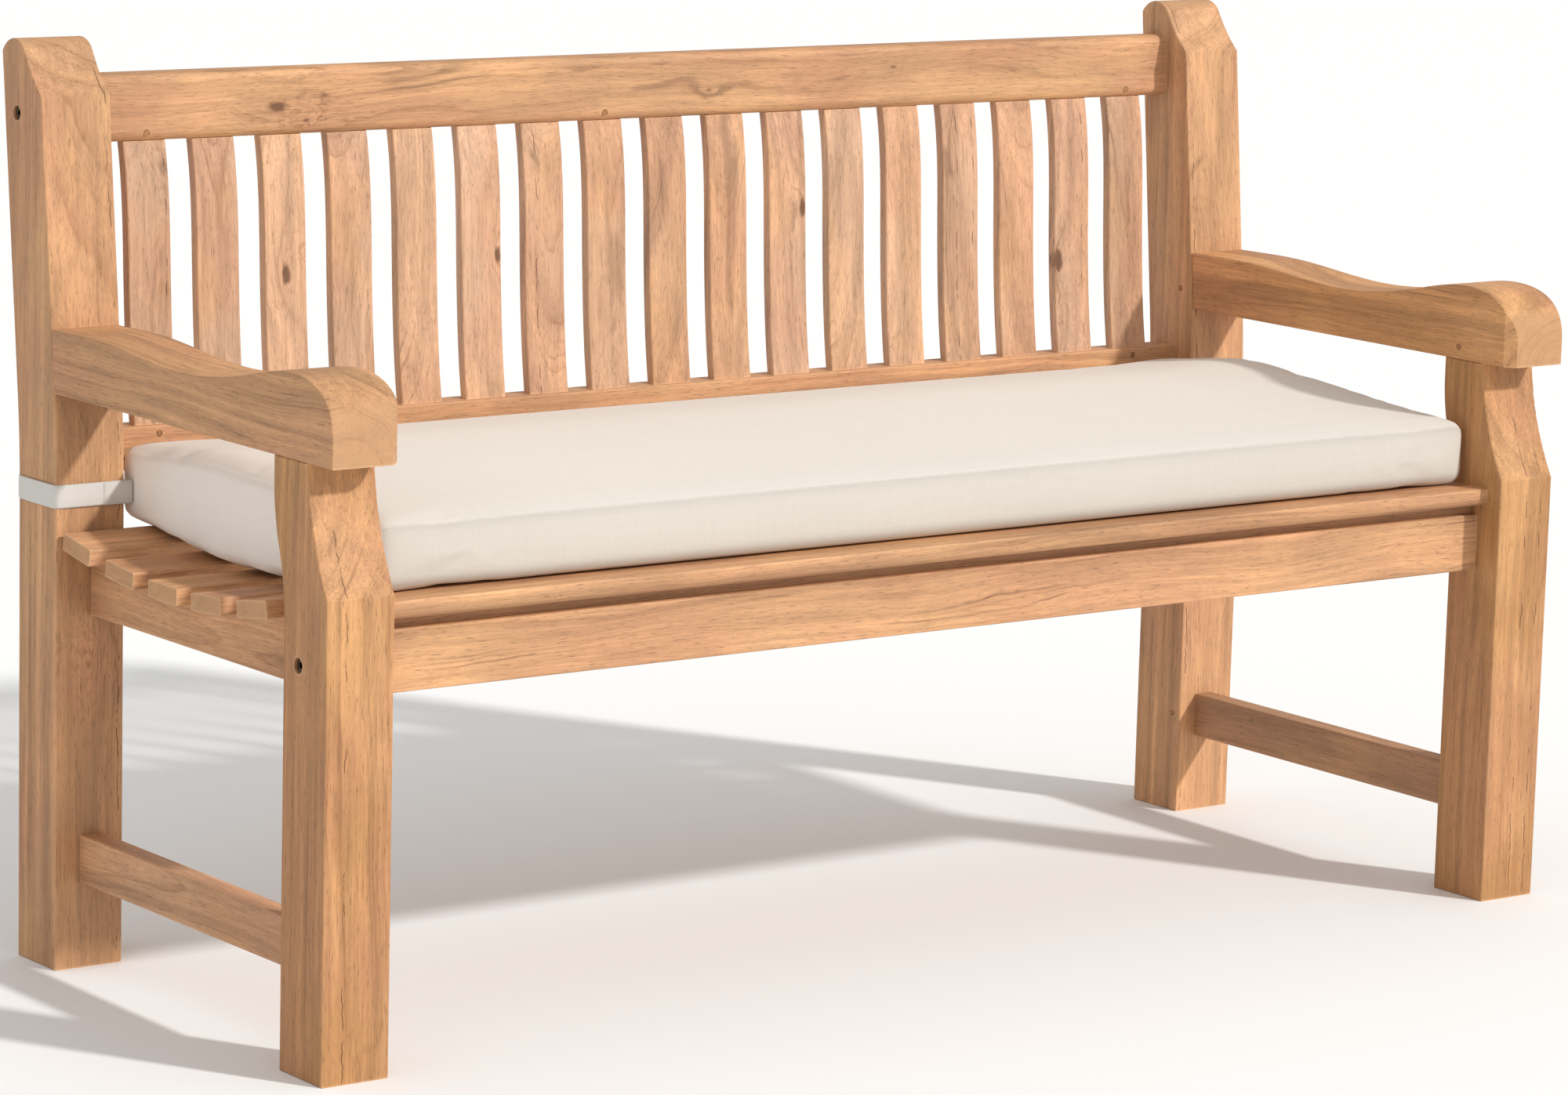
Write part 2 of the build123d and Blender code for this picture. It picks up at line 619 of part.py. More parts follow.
# ---- cushion and its straps ----
with BuildPart() as cushion:
    with BuildSketch(Plane.YZ) as pad:
        with BuildLine():
            lip = Line(*yz([(CUSHION_FRONT, CUSHION_BED), (CUSHION_LIP, CUSHION_BED)]))
            belly = Spline(lip @ 1, *yz([CUSHION_BELLY, CUSHION_HEEL]), tangents=((1, 0), (1, 0.16)))
            back = Line(belly @ 1, yz([(CUSHION_BACK, CUSHION_BACK_TOP)])[0])
            crown = ThreePointArc(back @ 1, *yz([CUSHION_CROWN, (CUSHION_FRONT, CUSHION_FRONT_TOP)]))
            Line(crown @ 1, lip @ 0)
        make_face()
        corners = pad.vertices().group_by(Axis.Y)
        fillet(corners[0] + corners[-1], CUSHION_ROUND)
    extrude(amount=CUSHION_HALF_LENGTH, both=True)
    ends = cushion.faces().filter_by(Axis.X)
    fillet(ends.edges(), CUSHION_END_ROUND)
save(cushion.part, "cushion")

for name, side in SIDES.items():
    with BuildPart() as strap:
        with BuildSketch(Plane.XY.offset(STRAP_BOTTOM)):
            with Locations((side * post_centre, depth(POST_FRONT + POST_DEPTH / 2))):
                outer = 2 * (STRAP_GAP + STRAP_THICKNESS)
                RectangleRounded(POST_WIDTH + outer, POST_DEPTH + outer, EASE + outer / 2)
                inner = 2 * STRAP_GAP
                RectangleRounded(POST_WIDTH + inner, POST_DEPTH + inner, EASE, mode=Mode.SUBTRACT)
        extrude(amount=STRAP_WIDTH)
    save(strap.part, f"strap_{name}")
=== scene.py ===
import math
import random

import bmesh
import bpy
from mathutils import Matrix, Vector


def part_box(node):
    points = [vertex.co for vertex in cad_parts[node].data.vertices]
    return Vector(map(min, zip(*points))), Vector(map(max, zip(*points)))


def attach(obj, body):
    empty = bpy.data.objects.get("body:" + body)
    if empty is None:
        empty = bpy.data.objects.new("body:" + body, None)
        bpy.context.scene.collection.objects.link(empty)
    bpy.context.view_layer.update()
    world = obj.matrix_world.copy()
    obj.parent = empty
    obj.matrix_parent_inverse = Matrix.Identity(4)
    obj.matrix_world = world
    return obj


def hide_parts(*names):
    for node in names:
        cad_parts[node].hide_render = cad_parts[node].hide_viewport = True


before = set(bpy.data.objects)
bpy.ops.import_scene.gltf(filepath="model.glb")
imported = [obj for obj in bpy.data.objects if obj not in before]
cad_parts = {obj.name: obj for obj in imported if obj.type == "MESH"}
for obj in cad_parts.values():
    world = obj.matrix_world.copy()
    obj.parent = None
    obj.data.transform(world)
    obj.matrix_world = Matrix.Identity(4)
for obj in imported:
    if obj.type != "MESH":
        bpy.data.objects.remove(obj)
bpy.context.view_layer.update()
MM = 0.001

# ---- camera: where it stands and how it looks at the bench ----
CAMERA_AZIMUTH = math.radians(-36.39)
CAMERA_ELEVATION = math.radians(10.01)
CAMERA_ROLL = math.radians(1.51)
CAMERA_DISTANCE = 5.686
CAMERA_TARGET = Vector((-0.0224, 0.0032, 0.3894))
CAMERA_LENS = 129.1
SENSOR_WIDTH = 36.0


def srgb(red, green, blue):
    """Linear colour of an sRGB colour given from 0 to 255."""
    linear = []
    for value in (red / 255, green / 255, blue / 255):
        linear.append(value / 12.92 if value <= 0.04045 else ((value + 0.055) / 1.055) ** 2.4)
    return (*linear, 1.0)


def toned(colour, gain, warmth=0.0):
    """A colour made lighter or darker, and pushed towards orange by a positive warmth."""
    red, green, blue, alpha = colour
    return (red * gain * (1 + 0.4 * warmth), green * gain, blue * gain * (1 - warmth), alpha)


# ---- node helper ----
class Graph:
    """Short calls that add nodes to one node tree and link them."""

    def __init__(self, tree):
        self.tree = tree
        tree.nodes.clear()

    def feed(self, socket, value):
        if isinstance(value, bpy.types.NodeSocket):
            self.tree.links.new(value, socket)
        else:
            socket.default_value = value

    def add(self, kind, inputs=(), **settings):
        node = self.tree.nodes.new("ShaderNode" + kind)
        for name, value in settings.items():
            setattr(node, name, value)
        for key, value in dict(inputs).items():
            self.feed(node.inputs[key], value)
        return node

    def math(self, operation, *values, clamp=False):
        node = self.add("Math", enumerate(values), operation=operation, use_clamp=clamp)
        return node.outputs[0]

    def vector(self, operation, *values):
        node = self.add("VectorMath", enumerate(values), operation=operation)
        scalar = operation in ("LENGTH", "DOT_PRODUCT", "DISTANCE")
        return node.outputs["Value" if scalar else "Vector"]

    def scale(self, vector, factor):
        node = self.add("VectorMath", {"Vector": vector, "Scale": factor}, operation="SCALE")
        return node.outputs["Vector"]

    def noise(self, vector, stretch, detail=2.0, rough=0.5, output="Fac"):
        placed = self.vector("MULTIPLY", vector, stretch)
        inputs = {"Vector": placed, "Scale": 1.0, "Detail": detail, "Roughness": rough}
        return self.add("TexNoise", inputs).outputs[output]

    def noise_line(self, value, frequency, seed):
        inputs = {"W": self.math("MULTIPLY_ADD", value, frequency, seed), "Scale": 1.0, "Detail": 1.0}
        return self.add("TexNoise", inputs, noise_dimensions="1D").outputs["Fac"]

    def smooth(self, value, low, high, out_low=0.0, out_high=1.0):
        inputs = {"Value": value, "From Min": low, "From Max": high, "To Min": out_low, "To Max": out_high}
        return self.add("MapRange", inputs, interpolation_type="SMOOTHSTEP").outputs["Result"]

    def ramp(self, value, stops):
        node = self.add("ValToRGB", {"Fac": value})
        elements = node.color_ramp.elements
        while len(elements) < len(stops):
            elements.new(0.5)
        for element, (position, grey) in zip(elements, stops):
            element.position = position
            element.color = (grey, grey, grey, 1)
        return node.outputs["Color"]

    def mix(self, factor, first, second, blend="MIX"):
        inputs = {0: factor, 6: first, 7: second}
        return self.add("Mix", inputs, data_type="RGBA", blend_type=blend).outputs[2]

    def combine(self, x, y, z):
        return self.add("CombineXYZ", {0: x, 1: y, 2: z}).outputs[0]


# ---- teak ----
TEAK_LIGHT = srgb(207, 158, 116)
TEAK_DARK = srgb(148, 98, 62)
TEAK_GOLD = srgb(214, 166, 116)
TEAK_ROSE = srgb(192, 138, 104)
TEAK_STREAK = srgb(104, 74, 54)
TEAK_KNOT = srgb(92, 58, 36)
TEAK_END = srgb(188, 146, 108)
# Lighter colour of the outer edges: partly sanded wear, partly a painted highlight.
TEAK_EDGE_WEAR_AND_HIGHLIGHT = srgb(232, 190, 146)

# How often each feature of the wood repeats in a metre: across the grain, twice, and along it.
WANDER = (7, 7, 1.7)
RIPPLE = (38, 38, 9)
RING_PATCHES = (16, 16, 4)
INK_PATCHES = (22, 22, 6)
FIBRES = (520, 520, 14)
STRANDS = (130, 130, 3.6)
FLECKS = (60, 60, 90)
PORES = (900, 900, 75)
STREAKS = (42, 42, 2.2)
CLOUDS = (10, 10, 4.5)
SHADES = (14, 14, 6)
# The same outwards from the heart.
THIN_RINGS = 62
BROAD_TONES = 62
RING_SPACINGS = 46
RING_WEIGHTS = 120
# Darkness through one growth ring, from its start to its end.
RING_PROFILE = ((0.0, 0.1), (0.45, 0.16), (0.78, 0.5), (0.93, 1.0), (1.0, 0.1))
THIN_PROFILE = ((0.0, 0.0), (0.80, 0.0), (0.90, 1.0), (0.95, 1.0), (1.0, 0.0))
RING_UNEVENNESS = 2.8  # how many rings the uneven spacing can shift them by
WANDER_REACH = 34 * MM
RIPPLE_REACH = 4.2 * MM
# How each feature lightens or darkens the wood: its weight, and the gain where it is 0.
FIBRE_TONE = (0.72, 0.64)
STRAND_TONE = (0.72, 0.64)
BROAD_TONE = (0.5, 0.75)
FLECK_TONE = (0.14, 0.93)
SHADE_TONE = (0.24, 0.88)
PORE_TONE = (-0.32, 1.0)
# How much of its own colour each mark brings.
INK_SHARE = 0.34
STREAK_SHARE = 0.62
KNOT_SHARE = 0.85
END_SHARE = 0.7
# The edges' lighter colour is partly sanded wear and partly a painted highlight.
EDGE_WEAR_AND_HIGHLIGHT_SHARE = 0.5

GROUP_INPUTS = (
    ("Grain", "Vector"),
    ("Heart", "Vector"),
    ("Lean", "Vector"),
    ("Seed", "Float"),
    ("Rings", "Float"),
    ("Figure", "Float"),
    ("Streaks", "Float"),
    ("Lift", "Float"),
    ("Knot", "Float"),
    ("End", "Float"),
    ("Edge", "Float"),
    ("Light", "Color"),
    ("Dark", "Color"),
)


def bent_grain(graph, given, place):
    """The board's grain, bent by a slow wander and a fine ripple, as it grew."""
    centre = (0.5, 0.5, 0.5)
    wander = graph.vector("SUBTRACT", graph.noise(place, WANDER, 2.0, 0.5, "Color"), centre)
    wander = graph.scale(wander, graph.math("MULTIPLY", given["Figure"], WANDER_REACH))
    ripple = graph.vector("SUBTRACT", graph.noise(place, RIPPLE, 2.0, 0.6, "Color"), centre)
    ripple = graph.scale(ripple, graph.math("MULTIPLY", given["Figure"], RIPPLE_REACH))
    return graph.vector("ADD", graph.vector("ADD", given["Grain"], wander), ripple)


def growth_rings(graph, given, place, bent):
    """How dark the growth rings are, the tone of broad bands of them, and a few thin inky ones."""
    seed = given["Seed"]
    along = graph.add("SeparateXYZ", {0: bent}).outputs[2]
    heart = graph.vector("ADD", given["Heart"], graph.scale(given["Lean"], along))
    outward = graph.vector("MULTIPLY", graph.vector("SUBTRACT", bent, heart), (1, 1, 0))
    radius = graph.math("ADD", graph.vector("LENGTH", outward), given["Lift"])
    uneven = graph.math("MULTIPLY", graph.noise_line(radius, RING_SPACINGS, seed), RING_UNEVENNESS)
    phase = graph.math("MULTIPLY_ADD", radius, given["Rings"], uneven)
    band = graph.ramp(graph.math("FRACT", phase), RING_PROFILE)
    weight = graph.smooth(graph.noise_line(radius, RING_WEIGHTS, seed), 0.38, 0.66, 0.15, 1.0)
    patchy = graph.smooth(graph.noise(place, RING_PATCHES, 2.0), 0.36, 0.62, 0.25, 1.0)
    ring = graph.math("MULTIPLY", graph.math("MULTIPLY", band, weight), patchy)
    broad = graph.noise_line(radius, BROAD_TONES, graph.math("ADD", seed, 7.7))
    thin_phase = graph.math("MULTIPLY_ADD", radius, THIN_RINGS, uneven)
    thin = graph.ramp(graph.math("FRACT", thin_phase), THIN_PROFILE)
    ink = graph.smooth(graph.noise(place, INK_PATCHES, 3.0, 0.6), 0.5, 0.64)
    return ring, broad, graph.math("MULTIPLY", graph.math("MULTIPLY", thin, ink), given["Figure"])


def teak_group():
    """Solid teak: growth rings round a wandering heart, fibres, pores, streaks, knots and end grain."""
    tree = bpy.data.node_groups.new("teak", "ShaderNodeTree")
    for name, kind in GROUP_INPUTS:
        tree.interface.new_socket(name, in_out="INPUT", socket_type="NodeSocket" + kind)
    for name, kind in (("Color", "Color"), ("Roughness", "Float"), ("Height", "Float")):
        tree.interface.new_socket(name, in_out="OUTPUT", socket_type="NodeSocket" + kind)
    graph = Graph(tree)
    given = tree.nodes.new("NodeGroupInput").outputs
    seed = given["Seed"]
    place = graph.vector("ADD", given["Grain"], graph.scale(graph.combine(1.3, 2.1, 3.7), seed))
    bent = bent_grain(graph, given, place)
    ring, broad, ink = growth_rings(graph, given, place, bent)

    along_grain = graph.vector("ADD", bent, graph.scale(graph.combine(5.1, 1.7, 0.9), seed))
    fibre = graph.noise(along_grain, FIBRES, 3.0, 0.7)
    strand = graph.noise(along_grain, STRANDS, 3.0, 0.6)
    fleck = graph.noise(place, FLECKS, 3.0, 0.6)
    pore = graph.smooth(graph.noise(along_grain, PORES, 2.0), 0.58, 0.72)
    streak = graph.noise(along_grain, STREAKS, 3.0, 0.62)
    streak = graph.math("MULTIPLY", graph.smooth(streak, 0.53, 0.72), given["Streaks"])
    cloud = graph.noise(place, CLOUDS, 1.0)
    shade = graph.noise(graph.vector("ADD", place, (3.1, 0.4, 5.2)), SHADES, 2.0)

    light = graph.mix(graph.smooth(cloud, 0.42, 0.60, 0.0, 0.4), given["Light"], TEAK_ROSE)
    light = graph.mix(graph.smooth(shade, 0.50, 0.66, 0.0, 0.3), light, TEAK_GOLD)
    strength = graph.math("MULTIPLY_ADD", given["Lift"], 45.0, 0.46)
    colour = graph.mix(graph.math("MULTIPLY", ring, strength, clamp=True), light, given["Dark"])
    gain = graph.math("MULTIPLY_ADD", fibre, *FIBRE_TONE)
    marks = (strand, broad, fleck, shade, pore)
    for mark, tone in zip(marks, (STRAND_TONE, BROAD_TONE, FLECK_TONE, SHADE_TONE, PORE_TONE)):
        gain = graph.math("MULTIPLY", gain, graph.math("MULTIPLY_ADD", mark, *tone))
    colour = graph.mix(1.0, colour, graph.combine(gain, gain, gain), "MULTIPLY")
    colour = graph.mix(graph.math("MULTIPLY", ink, INK_SHARE, clamp=True), colour, TEAK_STREAK)
    colour = graph.mix(graph.math("MULTIPLY", streak, STREAK_SHARE), colour, TEAK_STREAK)
    colour = graph.mix(graph.math("MULTIPLY", given["Knot"], KNOT_SHARE), colour, TEAK_KNOT)
    rings_on_end = graph.mix(ring, TEAK_END, graph.mix(0.3, TEAK_END, TEAK_DARK))
    colour = graph.mix(graph.math("MULTIPLY", given["End"], END_SHARE), colour, rings_on_end)
    # Lighter outer edges: partly sanded wear, partly a painted highlight.
    colour = graph.mix(graph.math("MULTIPLY", given["Edge"], EDGE_WEAR_AND_HIGHLIGHT_SHARE), colour, TEAK_EDGE_WEAR_AND_HIGHLIGHT)

    rough = graph.math("MULTIPLY_ADD", ring, 0.1, 0.52)
    rough = graph.math("MULTIPLY_ADD", fibre, 0.14, rough)
    rough = graph.math("MULTIPLY_ADD", given["End"], 0.16, rough)
    height = graph.math("MULTIPLY_ADD", fibre, 0.5, graph.math("MULTIPLY", ring, 0.35))
    height = graph.math("MULTIPLY_ADD", pore, -0.8, height)
    height = graph.math("MULTIPLY_ADD", given["Knot"], -0.5, height)
    result = tree.nodes.new("NodeGroupOutput")
    for name, value in (("Color", colour), ("Roughness", rough), ("Height", height)):
        graph.feed(result.inputs[name], value)
    return tree


TEAK = teak_group()
GRAIN_ORDER = {"X": (1, 2, 0), "Y": (0, 2, 1), "Z": (0, 1, 2)}
dice = random.Random(11)


def start_material(name):
    """A new material, its graph, and its output's surface socket."""
    material = bpy.data.materials.new(name)
    material.use_nodes = True
    graph = Graph(material.node_tree)
    return material, graph, graph.add("OutputMaterial").inputs["Surface"]


EDGE_REACH = 3.4 * MM
BUMP_HEIGHT = 0.5 * MM
KNOT_PATCHES = (160, 160, 90)
KNOT_SPREAD = 2.3  # how far the rings bend round a knot, in knot sizes
KNOT_LIFT = 1.7
KNOT_CORE = (0.35, 0.8)
KNOT_THROUGH = 0.12  # share of a distance that counts through the board, so a knot shows on both faces
KNOT_ALONG = 0.45  # the same along the grain, where a knot is longer than it is wide


def edge_wear_and_highlight(graph, reach):
    """Mask of the lighter edges, partly sanded wear and partly a painted highlight: 1 on sharp outer edges
    and 0 elsewhere, from how little material lies under the surface.
    """
    inputs = {"Distance": reach}
    thin = graph.add("AmbientOcclusion", inputs, samples=6, inside=True, only_local=True).outputs["AO"]
    return graph.smooth(thin, 0.42, 0.86, 1.0, 0.0)


def knot_nodes(graph, grain, spot, size, counts):
    """How far a knot pushes the rings aside, and how dark its core is. counts weighs each direction."""
    away = graph.vector("MULTIPLY", graph.vector("SUBTRACT", grain, spot), counts)
    wobble = graph.math("MULTIPLY_ADD", graph.noise(grain, KNOT_PATCHES, 2.0), 0.9, 0.55)
    distance = graph.math("MULTIPLY", graph.vector("LENGTH", away), wobble)
    spread = graph.math("DIVIDE", distance, size * KNOT_SPREAD)
    hill = graph.math("EXPONENT", graph.math("MULTIPLY", graph.math("POWER", spread, 2.0), -1.0))
    core = graph.smooth(distance, size * KNOT_CORE[0], size * KNOT_CORE[1], 1.0, 0.0)
    return graph.math("MULTIPLY", hill, size * KNOT_LIFT), core


CHECK_WANDER = 14 * MM
CHECK_WIDTH = (0.25 * MM, 0.8 * MM)
CHECK_PATH = (0, 0, 26)
CHECK_PATCHES = (8, 8, 30)


def check_nodes(graph, grain, across):
    """A fine dark drying crack that runs up a board and comes and goes."""
    parts = graph.add("SeparateXYZ", {0: grain}).outputs
    wobble = graph.noise(grain, CHECK_PATH, 4.0, 0.65)
    line = graph.math("SUBTRACT", parts[0], across)
    wobble = graph.math("SUBTRACT", wobble, 0.5)
    line = graph.math("ABSOLUTE", graph.math("MULTIPLY_ADD", wobble, CHECK_WANDER, line))
    open_part = graph.smooth(graph.noise(grain, CHECK_PATCHES, 3.0, 0.6), 0.48, 0.56)
    return graph.math("MULTIPLY", graph.smooth(line, *CHECK_WIDTH, 1.0, 0.0), open_part)


def teak(name, grain_axis, heart, rings=190.0, lean=(0.0, 0.0), tone=1.0, warmth=0.0, figure=1.0,
         streaks=0.35, knots=(), checks=()):
    """The teak of one board. heart is how far its tree's centre lies from the board's, in mm."""
    low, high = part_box(name)
    middle = (low + high) / 2
    order = GRAIN_ORDER[grain_axis]
    material, graph, surface = start_material("teak_" + name)
    coordinates = graph.add("TexCoord")
    local = graph.vector("SUBTRACT", coordinates.outputs["Object"], tuple(middle))
    parts = graph.add("SeparateXYZ", {0: local}).outputs
    grain = graph.combine(*[parts[i] for i in order])
    normal = graph.add("SeparateXYZ", {0: coordinates.outputs["Normal"]}).outputs[order[2]]
    end = graph.smooth(graph.math("ABSOLUTE", normal), 0.72, 0.93)
    lift, core = 0.0, 0.0
    for across, along, size in knots:
        place_along = along * (high - low)[order[2]]
        if grain_axis == "Z":
            spot = (across * (high.x - low.x), 0.0, place_along)
            counts = (1.0, KNOT_THROUGH, KNOT_ALONG)
        else:
            spot = (0.0, across * (high.z - low.z), place_along)
            counts = (KNOT_THROUGH, 1.0, KNOT_ALONG)
        more_lift, more_core = knot_nodes(graph, grain, spot, size * MM, counts)
        lift = graph.math("ADD", lift, more_lift)
        core = graph.math("MAXIMUM", core, more_core)
    for across in checks:
        core = graph.math("MAXIMUM", core, check_nodes(graph, grain, across * (high.x - low.x)))
    wood = graph.add("Group", node_tree=TEAK)
    values = {
        "Grain": grain,
        "Heart": (heart[0] * MM, heart[1] * MM, 0.0),
        "Lean": (lean[0], lean[1], 0.0),
        "Seed": dice.uniform(1, 40),
        "Rings": rings,
        "Figure": figure,
        "Streaks": streaks,
        "Lift": lift,
        "Knot": core,
        "End": end,
        "Edge": edge_wear_and_highlight(graph, EDGE_REACH),
        "Light": toned(TEAK_LIGHT, tone, warmth),
        "Dark": toned(TEAK_DARK, tone, warmth),
    }
    for key, value in values.items():
        graph.feed(wood.inputs[key], value)
    bump = graph.add("Bump", {"Height": wood.outputs["Height"], "Strength": 0.5, "Distance": BUMP_HEIGHT})
    inputs = {
        "Base Color": wood.outputs["Color"],
        "Roughness": wood.outputs["Roughness"],
        "Specular IOR Level": 0.32,
        "Normal": bump.outputs["Normal"],
    }
    graph.feed(surface, graph.add("BsdfPrincipled", inputs).outputs[0])
    paint(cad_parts[name], material)


def paint(piece, material):
    """Gives a whole piece one material."""
    if not piece.material_slots:
        piece.data.materials.append(material)
    for place in piece.material_slots:
        place.material = material


# ---- the boards, each sawn from its own place in a log ----
def jitter(spread):
    return dice.uniform(-spread, spread)


# Back slats are counted from the left. A tone above 1 is lighter. A knot is how far across and along the
# slat it lies, as shares of the slat's size from its middle, and its size in mm.
BACK_SLAT_TONES = (
    0.9, 1.0, 1.08, 0.92, 1.0, 1.08, 1.0, 0.93, 0.82, 0.94, 1.04, 0.96, 1.02, 1.02, 1.04, 1.06, 0.98,
)
BACK_TONE = 1.03
BACK_WARMTH = -0.22
BACK_SLAT_STREAKS = {1: 0.4, 4: 0.9, 9: 1.0, 10: 0.7, 11: 0.75, 14: 0.8, 16: 0.6, 17: 0.6}
BACK_SLAT_KNOTS = {3: (0.0, 0.0, 8), 6: (0.4, 0.02, 6), 11: (0.4, 0.12, 7), 16: (-0.4, -0.12, 9)}
BACK_SLAT_CHECKS = {1: (0.4,), 7: (-0.2,), 14: (-0.1, 0.35), 16: (0.3,)}

for index, slat_tone in enumerate(BACK_SLAT_TONES, start=1):
    side = dice.choice((-1, 1))
    teak(
        f"back_slat_{index:02d}", "Z",
        heart=(side * dice.uniform(4, 46), dice.uniform(14, 60)),
        rings=dice.uniform(210, 320),
        lean=(jitter(0.08), jitter(0.10)),
        tone=BACK_TONE * slat_tone,
        warmth=BACK_WARMTH + jitter(0.06),
        figure=dice.uniform(0.9, 1.4),
        streaks=BACK_SLAT_STREAKS.get(index, 0.2),
        knots=[BACK_SLAT_KNOTS[index]] if index in BACK_SLAT_KNOTS else (),
        checks=BACK_SLAT_CHECKS.get(index, ()),
    )

for index in range(1, 6):
    teak(
        f"seat_slat_{index}", "X",
        heart=(jitter(40), dice.uniform(-70, -30)),
        rings=dice.uniform(220, 300),
        lean=(jitter(0.02), jitter(0.02)),
        tone=0.98 + jitter(0.06),
        warmth=jitter(0.06),
    )
teak("front_seat_slat", "X", heart=(-15, -60), rings=260, tone=0.84, figure=1.1)
teak("front_slat_strip", "X", heart=(30, -60), rings=240, tone=0.8)
teak("front_apron", "X", heart=(70, -60), rings=230, tone=0.87, figure=1.5, streaks=0.25)
teak("rear_apron", "X", heart=(-60, -50), rings=260)
teak("seat_bearer", "Y", heart=(30, -60), rings=260)
teak("corner_blocks", "Z", heart=(40, 20), rings=260)
teak("lower_back_rail", "X", heart=(30, -70), rings=250, tone=0.95, figure=1.2)
teak(
    "top_rail", "X", heart=(85, -40), rings=250, tone=0.8, figure=1.5, streaks=0.2,
    knots=[(-0.08, -0.347, 9), (-0.3, -0.323, 5), (-0.1, 0.04, 4), (0.15, 0.22, 4)],
)

for side, sign in (("left", -1), ("right", 1)):
    teak(
        f"rear_post_{side}", "Z", heart=(-60 * sign, 150), rings=230, tone=0.87 + 0.05 * sign,
        figure=0.9, streaks=0.45, knots=[(0.0, -0.167, 9)], checks=(-0.42 * sign,),
    )
    teak(
        f"front_leg_{side}", "Z", heart=(90 * sign, 150), rings=240, tone=0.67, warmth=0.22, figure=0.8,
        streaks=0.3, checks=(0.02, 0.3) if sign > 0 else (-0.2,),
    )
    teak(
        f"arm_{side}", "Y", heart=(25 * sign, -45), rings=190, tone=0.84, warmth=0.1 + 0.06 * sign,
        figure=1.4, streaks=0.5,
    )
    teak(f"side_rail_{side}", "Y", heart=(60 * sign, -20), rings=230, tone=0.95, figure=1.3, streaks=0.6)
    teak(
        f"stretcher_{side}", "Y", heart=(60 * sign, 10), rings=240, tone=0.9 - 0.14 * sign, warmth=-0.1,
        figure=1.2, streaks=0.4,
    )


# ---- pegs, dowels and metal ----
PEG_DARK = srgb(128, 84, 52)
PEG_LIGHT = srgb(176, 126, 84)
STEEL_LIGHT = srgb(112, 104, 92)
STEEL_DARK = srgb(70, 58, 46)
PEG_GRAIN = (900, 900, 900)
STEEL_STAINS = (260, 260, 260)
STEEL_SCRATCHES = (300, 2400, 2400)


def peg_material():
    material, graph, surface = start_material("hardwood_pegs")
    place = graph.add("TexCoord").outputs["Object"]
    speckle = graph.noise(place, PEG_GRAIN, 2.0)
    colour = graph.mix(graph.smooth(speckle, 0.35, 0.65), PEG_DARK, PEG_LIGHT)
    bump = graph.add("Bump", {"Height": speckle, "Strength": 0.4, "Distance": 0.3 * MM})
    inputs = {"Base Color": colour, "Roughness": 0.7, "Normal": bump.outputs["Normal"]}
    graph.feed(surface, graph.add("BsdfPrincipled", inputs).outputs[0])
    return material


def bolt_material():
    material, graph, surface = start_material("zinc_steel")
    place = graph.add("TexCoord").outputs["Object"]
    stain = graph.noise(place, STEEL_STAINS, 3.0)
    scratch = graph.noise(place, STEEL_SCRATCHES, 2.0)
    colour = graph.mix(graph.smooth(stain, 0.4, 0.65), STEEL_LIGHT, STEEL_DARK)
    rough = graph.math("MULTIPLY_ADD", stain, 0.35, 0.25)
    bump = graph.add("Bump", {"Height": scratch, "Strength": 0.25, "Distance": 0.1 * MM})
    inputs = {"Base Color": colour, "Metallic": 1.0, "Roughness": rough, "Normal": bump.outputs["Normal"]}
    graph.feed(surface, graph.add("BsdfPrincipled", inputs).outputs[0])
    return material


pegs = peg_material()
for name in ("wooden_pegs", "seat_dowels"):
    paint(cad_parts[name], pegs)
steel = bolt_material()
for name in ("frame_bolts", "barrel_nuts"):
    paint(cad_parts[name], steel)


# ---- cloth ----
THREAD = 1.1 * MM
SLUB_STRETCHES = ((14, 700, 700), (700, 14, 700), (700, 700, 30))
CLOTH_CLOUDS = (5, 5, 5)
EDGE_SHADE = -0.36  # painted shade along the cushion's long edges, where the cloth turns over towards the light
WEAVE_TONE = 0.012
SLUB_TONE = 0.15
CLOTH_RELIEF = 0.25 * MM


